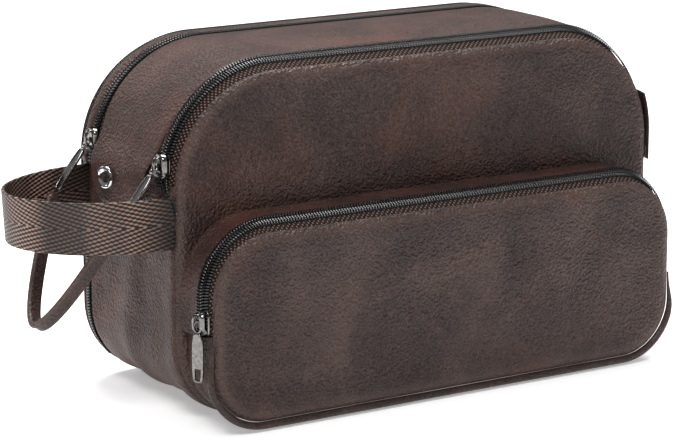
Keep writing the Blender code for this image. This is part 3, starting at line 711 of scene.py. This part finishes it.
def lid_rubbed(co):
    """The finish is rubbed light along the lid's folded edges."""
    x, y, z = co.T
    near, far = lid_edges(z)
    near, far = np.where(x < 0, near, LID_FRONT), np.where(x < 0, far, LID_REAR)
    return 0.45 * np.exp(-((np.minimum(y - near, far - y) / 0.0012) ** 2))

mark_rubbed(lid, lid_rubbed)
apply(lid, "SOLIDIFY", thickness=0.0016, offset=-1.0)
finish_piece(lid, wall_leather, "lid", "leather", "lid_strip")

# Snap. A pressed brass ring cap, chromed, with a dished middle, riveted through the tongue; its socket is
# behind the leather, and its stud is on the side wall.
SNAP_Y, SNAP_Z = 0.0065, 0.1095
SNAP_OUT = -HALF_LENGTH - 0.0066
SNAP_TURN = math.radians(16)  # the soft tongue lets it face a little to the front

bright_chrome, tree, shader = new_material("polished_chrome_plate", 0.09, 1.0)
haze = noise(tree, add_node(tree, "TexCoord").outputs["Object"], 500.0, 3.0)
wire(tree, shader, Base_Color=ramped(tree, haze, (0.3, "#b9bbbd"), (0.7, "#d6d8da")),
     Roughness=mapped(tree, haze, 0.0, 1.0, 0.06, 0.14))

# How far the cap stands out, and its radius there, from its dished middle round to its back.
cap_profile = np.array(((0.0, 0.0049), (0.0004, 0.0053), (0.0010, 0.0054), (0.0016, 0.0051),
                        (0.0019, 0.0046), (0.0018, 0.0041), (0.0013, 0.0035), (0.0010, 0.0026),
                        (0.0010, 0.0013), (0.0011, 0.00002)))


def cap_shape(u, v):
    a = 2 * np.pi * u
    k = v * (len(cap_profile) - 1)
    out = np.interp(k, range(len(cap_profile)), cap_profile[:, 0])
    radius = np.interp(k, range(len(cap_profile)), cap_profile[:, 1])
    across = radius * np.cos(a)
    x = -out * math.cos(SNAP_TURN) + across * math.sin(SNAP_TURN)
    y = -out * math.sin(SNAP_TURN) - across * math.cos(SNAP_TURN)
    return SNAP_OUT - 0.0012 + x, SNAP_Y + y, SNAP_Z + radius * np.sin(a)


cap = tube("snap_ring_cap", cap_shape, 48, 36, away_from=(SNAP_OUT, SNAP_Y, SNAP_Z))
finish_piece(cap, bright_chrome, "lid", "snap_metal", "snap_cap")
coat(bright_chrome, "snap_socket", "snap_stud", "snap_post")

# Back panel. The same leather as the front, edge turned over a filler, joined to the body by the back zip
# and by its bottom seam, about which it folds down.
BACK_FACE = 0.0523
back_outline = (HALF_LENGTH - 0.0004, 0.0004, HEIGHT - 0.0022, BASE_RADIUS, TOP_RADIUS - 0.0022)
back = panel("back_leather", BACK_FACE, -1, back_outline, 0.0042, 0.0022, 0.0007, 4.4)
finish_piece(back, body_leather, "back", "leather", "back_panel")

# Pocket. A shallow box of the same leather on the front: gusset round its sides and top, a zip inside the
# gusset's edge, and one full front panel. On the bag the front folds down along a line between the zip's two
# ends; here the panel is one piece, tied to no body, so it does not fold.
POCKET_HALF = 0.130
POCKET_BASE = 0.004
POCKET_TOP = 0.099
POCKET_TOP_RADIUS = 0.035
POCKET_BASE_RADIUS = 0.027
POCKET_FACE = -0.073
POCKET_FOLD = 0.046
POCKET_DROP = 0.0056
POCKET_ZIP_HALF = 0.1328  # the pocket's zip stands out at both ends

gusset_way = over(POCKET_ZIP_HALF, POCKET_TOP, POCKET_TOP_RADIUS, POCKET_FOLD + 0.0003, POCKET_FOLD + 0.0003)


def gusset_lift(s, y):
    slack = -0.0012 * np.sin(np.pi * np.clip((y + 0.0617) / 0.0154, 0, 1))
    return slack + 0.0004 * ripple(s, y * 2, 0.7) * ease((y + 0.0617) / 0.004)


gusset = band("pocket_gusset_leather", gusset_way, -0.0619, -0.0463, gusset_lift, 26, 220,
              edge=0.001, tuck=0.0006)
finish_piece(gusset, wall_leather, "root", "leather", "pocket_gusset")

low_way = under(POCKET_HALF, POCKET_BASE, POCKET_BASE_RADIUS, POCKET_FOLD, POCKET_FOLD)


def low_gusset_lift(s, y):
    ends = ease(s / 0.02) * ease((low_way[-1, 0] - s) / 0.02)
    folds = 0.0007 * np.sin(2 * np.pi * y / 0.0105 + 3 * np.sin(s * 20)) * ends
    return -0.0006 + folds * ease((y + 0.0705) / 0.004) * ease((-0.0463 - y) / 0.004)


low_gusset = band("pocket_low_gusset_leather", low_way, -0.0707, -0.0463, low_gusset_lift, 36, 200)
finish_piece(low_gusset, wall_leather, "root", "leather", "pocket_bottom_gusset")

pocket_outline = (POCKET_HALF - 0.0008, POCKET_BASE + 0.0002, POCKET_TOP - POCKET_DROP, POCKET_BASE_RADIUS,
                  POCKET_TOP_RADIUS - POCKET_DROP)
pocket_front = panel("pocket_front_leather", POCKET_FACE, 1, pocket_outline, 0.0048, 0.0026, 0.0008, 0.9)
finish_piece(pocket_front, body_leather, None, "leather", "pocket_flap", "pocket_lower_front")
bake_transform(pocket_front)

pocket_way = over(POCKET_ZIP_HALF, POCKET_TOP, POCKET_TOP_RADIUS, POCKET_FOLD + 0.0023, POCKET_FOLD + 0.0023)
zip_half("pocket_zip_body_side", pocket_way, pocket_way[-1, 0], POCKET_ZIP, 1, -0.0560, rolled_pocket, "root",
         ("pocket_zip_tape", "pocket_zip_coil"))
zip_half("pocket_zip_flap_side", pocket_way, pocket_way[-1, 0], POCKET_ZIP, -1, -0.0722, rolled_pocket, "flap",
         ("pocket_flap_zip_tape", "pocket_flap_zip_coil"))

# Piping. A thin leather roll over cord, sewn into the seam round the pocket's lower edge.
piping_way = under(POCKET_HALF, POCKET_BASE, POCKET_BASE_RADIUS, POCKET_FOLD - 0.002, POCKET_FOLD - 0.002)


def piping_shape(u, v):
    s = v * piping_way[-1, 0]
    a = 2 * np.pi * u
    fade = ease(np.minimum(v, 1 - v) * 14)
    radius = 0.0018 * (1 + 0.05 * ripple(s, s * 0.4, 2.0)) * (0.25 + 0.75 * fade)
    lift = 0.0016 * fade - 0.0004 * (1 - fade)
    return on_route(piping_way, s, -0.0715 + radius * np.cos(a), lift + radius * np.sin(a))


piping = tube("pocket_piping_leather", piping_shape, 12, 220, away_from=(0.0, -0.0715, 0.05))
finish_piece(piping, trim_leather, "root", "leather_trim", "pocket_piping")

# Zip stubs. Folded leather squares sewn over both ends of the pocket zip.
for label, side in (("left", -1), ("right", 1)):

    def stub_shape(u, v, side=side):
        y = -0.0697 + 0.0094 * crowd(u, 0.7)
        z = 0.0405 + 0.0072 * crowd(v, 0.7)
        d = np.minimum(np.minimum(y + 0.0697, -0.0603 - y), np.minimum(z - 0.0405, 0.0477 - z))
        swell = 0.0010 * np.sqrt(1 - (1 - np.clip(d / 0.0016, 0, 1)) ** 2)
        groove = 0.0004 * np.exp(-(((d - 0.0014) / 0.0004) ** 2))
        return side * (POCKET_HALF + 0.0011 + swell - groove - 0.6 * rolled_pocket(y)), y, z

    stub = lay(label + "_zip_stub_leather", stub_shape, 20, 16, (0.009, 0.007), (0.0, -0.065, 0.044))
    apply(stub, "SOLIDIFY", thickness=0.0012, offset=-1.0)
    finish_piece(stub, trim_leather, "root", "leather_trim", "pocket_zip_stub_" + label)

# Sliders. Die-cast zinc: an outer plate with turned-down side flanges over the coil, and an arched bridge
# that holds the pull. The top and back ones are plated gunmetal, the pocket one nickel.
def plated(name, low, high, roughness):
    """Cast zinc with a thin, slightly uneven plated finish."""
    made, tree, shader = new_material(name, roughness, 1.0)
    cast = noise(tree, add_node(tree, "TexCoord").outputs["Object"], 700.0, 4.0)
    wire(tree, shader, Base_Color=ramped(tree, cast, (0.3, low), (0.7, high)),
         Roughness=mapped(tree, cast, 0.0, 1.0, roughness - 0.06, roughness + 0.1),
         Normal=bumped(tree, cast, 0.05, 0.0001))
    return made

gunmetal = plated("gunmetal_plated_zinc", "#5c5957", "#807d7a", 0.13)
nickel = plated("brushed_nickel_zinc", "#625f5d", "#84817e", 0.20)
recess = plated("blackened_zinc_recess", "#171615", "#262423", 0.35)


def join(name, pieces):
    """Joins pieces into the first, and names it."""
    bpy.ops.object.select_all(action="DESELECT")
    for piece in pieces:
        piece.select_set(True)
    bpy.context.view_layer.objects.active = pieces[0]
    bpy.ops.object.join()
    pieces[0].name = pieces[0].data.name = name
    return pieces[0]


def slider(name, side, wall_x, y, z, body, node_name, finish, turn=0.0):
    """A slider on an upright side wall. It is modelled lying flat: X up the zip, Y across, Z outward."""

    def plate_half(x):
        return 0.0046 - 0.0012 * ease((-0.0012 - x) / 0.0045) - 0.0006 * ease((x - 0.003) / 0.0025)

    def plate_shape(u, v):
        x = -0.0056 + 0.0112 * crowd(v, 0.7)
        w = 2 * crowd(u, 0.8) - 1
        half = plate_half(x) * np.sqrt(np.clip(1 - (np.abs(x) / 0.0058) ** 8, 0.3, 1))
        d = (1 - np.abs(w)) * half
        drop = 0.0021 * (1 - np.sqrt(1 - (1 - np.clip(d / 0.0012, 0, 1)) ** 2))
        ends = 0.0006 * ease((x - 0.0043) / 0.0013) + 0.0014 * ease((-0.0018 - x) / 0.0024)
        return x, w * half, 0.0021 - drop - ends + 0.0002 * np.cos(w * 1.5)

    plate = lay("slider_plate", plate_shape, 26, 26, (0.01, 0.011), (0.0, 0.0, -0.002))
    apply(plate, "SOLIDIFY", thickness=0.0007, offset=-1.0)

    def bridge_shape(u, v):
        t = 2 * v - 1
        a = 2 * np.pi * u
        x = 0.0045 * t
        rise = 0.0027 * np.sqrt(np.clip(1 - np.abs(t) ** 2.6, 0, 1))
        wide = 0.0011 + 0.0006 * np.abs(t) ** 2
        return x + 0.0004 * np.sin(a) * t, wide * np.cos(a), 0.0019 + rise + 0.00055 * np.sin(a)

    bridge = tube("slider_bridge", bridge_shape, 14, 26, away_from=(0.0, 0.0, 0.002))

    def neck_shape(u, v):
        return 0.0032 + 0.0022 * v, 0.0010 * (2 * u - 1), -0.001 + 0.0 * u

    def under_shape(u, v):
        narrow = 1 - 0.25 * np.abs(2 * v - 1) ** 4
        return -0.0054 + 0.0108 * v, 0.0036 * (2 * u - 1) * narrow, -0.0024 + 0.0 * u

    neck = lay("slider_neck", neck_shape, 4, 4, (0.002, 0.002), (0.0, 0.0, -0.01))
    apply(neck, "SOLIDIFY", thickness=0.0030, offset=1.0)
    under_plate = lay("slider_under", under_shape, 8, 12, (0.007, 0.011), (0.0, 0.0, 0.01))
    apply(under_plate, "SOLIDIFY", thickness=0.0007, offset=-1.0)
    made = join(name, [plate, bridge, neck, under_plate])
    cos, sin = math.cos(turn), math.sin(turn)

    def stand(a, b, c):
        return wall_x + side * (c * cos + b * sin), y - side * (b * cos - c * sin), z + a

    reshape(made, stand)
    face_out(made)
    apply(made, "BEVEL", width=0.00012, segments=2, limit_method="ANGLE", angle_limit=math.radians(50))
    return finish_piece(made, finish, body, "zip_metal", node_name)


TOP_SLIDER_Z, BACK_SLIDER_Z, POCKET_SLIDER_Z = 0.122, 0.050, 0.054
for label, zip_y in (("front", FRONT_ZIP), ("rear", REAR_ZIP)):
    slider(label + "_slider_cast", -1, -HALF_LENGTH - 0.0008, zip_y, TOP_SLIDER_Z, label + "_slider",
           label + "_zip_slider", gunmetal)
slider("back_slider_cast", 1, HALF_LENGTH, BACK_ZIP, BACK_SLIDER_Z, "back_slider", "back_zip_slider", gunmetal)
slider("pocket_slider_cast", -1, -POCKET_HALF - 0.0012, POCKET_ZIP, POCKET_SLIDER_Z, "pocket_slider",
       "pocket_zip_slider", nickel, math.radians(-20))

# Pulls. Stamped tabs with an eye that hooks round the slider's bridge. The top two and the back one are
# open frames with a dark web; the pocket's is a flat plate with a raised rim and an oval slot.
TAB_LENGTH = 0.028
TAB_HALF = 0.0029
TAB_START = 0.0046  # from the pivot to the frame's near end, beyond the slider's bridge
TAB_PIVOT_OUT = 0.004  # the pivot's height over the wall
EYE_WIRE = 0.00062

def narrowed(x):
    """How far the tab narrows towards its eye."""
    return 1 - 0.22 * ease((TAB_START + 0.008 - x) / 0.008)

def pull(name, pivot, lean, side, body, node_name, finish, framed, turn=0.0):
    """A pull tab, modelled flat: X from the pivot to the free end, Y across, Z through its thickness."""

    def rim_shape(u, v):
        a = 2 * np.pi * u
        b = 2 * np.pi * v
        long = (TAB_LENGTH - TAB_START) / 2
        squared = 2 / 5.0
        cx = TAB_START + long + (long - 0.0006) * np.sign(np.cos(a)) * np.abs(np.cos(a)) ** squared
        cy = (TAB_HALF - 0.0006) * narrowed(cx) * np.sign(np.sin(a)) * np.abs(np.sin(a)) ** squared
        bar = 0.00075 * np.cos(b)
        aside = np.sign(np.sin(a)) * np.abs(np.sin(a)) ** 0.4
        return cx + bar * np.cos(a) * 0.8, cy + bar * aside, 0.0008 * np.sin(b)

    def web_shape(u, v):
        near, far = TAB_START + 0.0008, TAB_LENGTH - (0.0046 if framed else 0.0066)
        x = near + (far - near) * v
        return x, (TAB_HALF - 0.0008) * narrowed(x) * (2 * u - 1), 0.0 * u + 0.0001

    def eye_shape(u, v):
        a = 2 * np.pi * u
        b = 2 * np.pi * v
        out = EYE_WIRE * np.cos(b)
        return 0.0016 + (0.0026 + out) * np.cos(a), (0.0019 + out) * np.sin(a), EYE_WIRE * np.sin(b)

    rim = tube("pull_rim", rim_shape, 96, 10, caps=False, away_from=(0.016, 0.0, 0.0))
    web = lay("pull_web", web_shape, 10, 40, (0.004, 0.02), (0.0, 0.0, -1.0))
    apply(web, "SOLIDIFY", thickness=0.0006 if framed else 0.0011, offset=0.0)
    eye = tube("pull_eye", eye_shape, 36, 10, caps=False, away_from=(0.0016, 0.0, 0.0))
    made = join(name, [rim, eye])
    down = Vector((side * math.sin(lean), 0, -math.cos(lean)))
    out = Vector((side * math.cos(lean), 0, math.sin(lean)))
    cos, sin = math.cos(turn), math.sin(turn)

    def hang(a, b, c):
        b, c = b * cos + c * sin, c * cos - b * sin
        return pivot[0] + down.x * a + out.x * c, pivot[1] + b, pivot[2] + down.z * a + out.z * c

    for part in (made, web):
        reshape(part, hang)
        face_out(part)
    web.name = web.data.name = name + "_web"
    finish_piece(web, recess if framed else finish, body, "zip_metal")
    return finish_piece(made, finish, body, "zip_metal", node_name)

TOP_LEAN = math.radians(38)
for label, zip_y in (("front", FRONT_ZIP), ("rear", REAR_ZIP)):
    pull(label + "_pull_tab", (-HALF_LENGTH - TAB_PIVOT_OUT, zip_y, TOP_SLIDER_Z), TOP_LEAN, -1,
         label + "_pull", label + "_zip_pull", gunmetal, True)
pull("back_pull_tab", (HALF_LENGTH + TAB_PIVOT_OUT, BACK_ZIP, BACK_SLIDER_Z), 0.0, 1, "back_pull",
     "back_zip_pull", gunmetal, True)
pull("pocket_pull_tab", (-POCKET_HALF - TAB_PIVOT_OUT, POCKET_ZIP, POCKET_SLIDER_Z), 0.0, -1, "pocket_pull",
     "pocket_zip_pull", nickel, False, math.radians(-28))

# Strap. A narrow leather band, folded in three and stitched down its middle, that joins the two top pulls
# and hangs in a long rounded loop below them, so both zips are drawn with one hand.
STRAP_LEAN = math.radians(27)
strap_out = Vector((-math.sin(TOP_LEAN), 0, -math.cos(TOP_LEAN)))
strap_down = Vector((-math.sin(STRAP_LEAN), 0, -math.cos(STRAP_LEAN)))
strap_end = Vector((-HALF_LENGTH - TAB_PIVOT_OUT, 0, TOP_SLIDER_Z)) + strap_out * (TAB_LENGTH + 0.0003)
strap_flat = Vector((strap_down.z, 0, -strap_down.x))


def strap_line(v):
    """The strap's middle line at v from -1 to 1."""
    y = (FRONT_ZIP + REAR_ZIP) / 2 + v * (REAR_ZIP - FRONT_ZIP) / 2
    drop = 0.0015 + 0.060 * (1 - np.abs(v) ** 1.7)
    return y, drop


def strap_shape(u, v):
    t = 2 * crowd(v, 0.3) - 1
    y, drop = strap_line(t)
    y2, drop2 = strap_line(t + 0.004)
    y1, drop1 = strap_line(t - 0.004)
    ty, td = y2 - y1, drop2 - drop1
    long = np.hypot(ty, td)
    ty, td = ty / long, td / long
    a = 2 * np.pi * u
    c, s = np.cos(a), np.sin(a)
    wide = 0.0035 * np.sign(c) * np.abs(c) ** 0.45
    thick = 0.0015 * np.sign(s) * np.abs(s) ** 0.55
    thick = thick * (1 - 0.30 * np.exp(-((wide / 0.0006) ** 2)))
    ends = np.clip(np.minimum(v, 1 - v) * 60, 0.55, 1)
    wide, thick = wide * ends, thick * ends
    x = strap_end.x + strap_down.x * (drop + ty * thick) + strap_flat.x * wide
    z = strap_end.z + strap_down.z * (drop + ty * thick) + strap_flat.z * wide
    return x, y - td * thick, z


strap = tube("pull_strap_leather", strap_shape, 32, 130, away_from=(-0.16, 0.0, 0.09))


def strap_rubbed(co):
    """The finish is rubbed light along the strap's two long edges."""
    across = np.abs((co - np.array(strap_end)) @ np.array(strap_flat))
    return 0.5 * ease((across - 0.0022) / 0.0010)

mark_rubbed(strap, strap_rubbed)
finish_piece(strap, trim_leather, "strap", "leather_trim", "pull_strap")

# Handle. 25 mm herringbone webbing of shiny polyester, its twill turning at the middle line. A loop long
# enough for a hand, each end sewn into the side wall's seam.
WEB_HALF = 0.01225
HANDLE_X, HANDLE_Z = -0.1483, 0.0965
HANDLE_REACH = 0.047
HANDLE_FRONT, HANDLE_REAR = -0.0432, 0.0403
HANDLE_LONG = 0.168  # the webbing's length from seam to seam
RIB_APART = 0.0019
FLOAT_LONG = 0.0029

webbing_cloth, tree, shader = new_material("herringbone_polyester_webbing", 0.48, Specular_IOR_Level=0.35)
flat_map = add_node(tree, "TexCoord").outputs["UV"]
parts = add_node(tree, "SeparateXYZ", inputs={"Vector": flat_map}).outputs
mirrored = calc(tree, "ABSOLUTE", calc(tree, "SUBTRACT", parts["X"], WEB_HALF))
# Ribs rise from the middle line at about 17 degrees.
slope = calc(tree, "MULTIPLY_ADD", parts["Y"], -0.30, mirrored)
rib_wave = calc(tree, "SINE", calc(tree, "MULTIPLY", slope, 2 * math.pi / RIB_APART))
# Each rib is a row of floats, stepped from rib to rib.
step = calc(tree, "MULTIPLY_ADD", mirrored, 1.1, parts["Y"])
float_wave = calc(tree, "SINE", calc(tree, "MULTIPLY", step, 2 * math.pi / FLOAT_LONG))
raised = mapped(tree, calc(tree, "MULTIPLY_ADD", float_wave, 0.62, rib_wave), -1.2, 1.1)
colour = ramped(tree, raised, (0.42, "#030202"), (0.72, "#96786a"), (0.56, "#33251f"))
# Painted sheen: darker bands along the length stand in for the satin webbing's changing reflection.
lengthwise = add_node(tree, "CombineXYZ", inputs={"X": parts["Y"]}).outputs["Vector"]
painted_sheen_bands = mapped(tree, noise(tree, lengthwise, 32.0, 1.0), 0.40, 0.60, 0.0, 0.8)
colour = mixed(tree, painted_sheen_bands, colour, "#3f3836", "MULTIPLY")
# Painted shade: both ends are darkened where the side wall's seam shades them.
painted_seam_shade = mapped(tree, calc(tree, "PINGPONG", parts["Y"], HANDLE_LONG / 2), 0.002, 0.020, 0.85, 0.0)
colour = mixed(tree, painted_seam_shade, colour, "#4a4442", "MULTIPLY")
wire(tree, shader, Base_Color=colour, Normal=bumped(tree, raised, 0.9, 0.0004))

handle_middle = (HANDLE_FRONT + HANDLE_REAR) / 2
handle_swing = (HANDLE_REAR - HANDLE_FRONT) / 2


def webbing_shape(u, v):
    """The band stands on edge: straight out of the front seam, round the loop, and back into the rear seam."""
    lead = 0.068
    a = np.pi * np.clip((v - lead) / (1 - 2 * lead), 0, 1)
    into = np.clip((lead - np.minimum(v, 1 - v)) / lead, 0, 1)
    x = HANDLE_X - HANDLE_REACH * np.sin(a) + 0.0142 * into
    y = handle_middle - (handle_swing + 0.0012 * into) * np.cos(a)
    across = (2 * u - 1) * WEB_HALF
    lean = 0.06 * np.sin(a)  # the loop's middle leans a little outward at its top edge
    return x - across * lean, y, HANDLE_Z + across + 0.0006 * np.sin(2 * a)


webbing = lay("handle_webbing_loop", webbing_shape, 16, 170, (2 * WEB_HALF, HANDLE_LONG),
              (HANDLE_X + 0.02, 0.0, HANDLE_Z))
apply(webbing, "SOLIDIFY", thickness=0.0015, offset=0.0)
apply(webbing, "BEVEL", width=0.0005, segments=2, limit_method="ANGLE", angle_limit=math.radians(50))
finish_piece(webbing, webbing_cloth, None, "webbing", "handle_webbing", "handle_front_anchor",
             "handle_rear_anchor")
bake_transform(webbing)
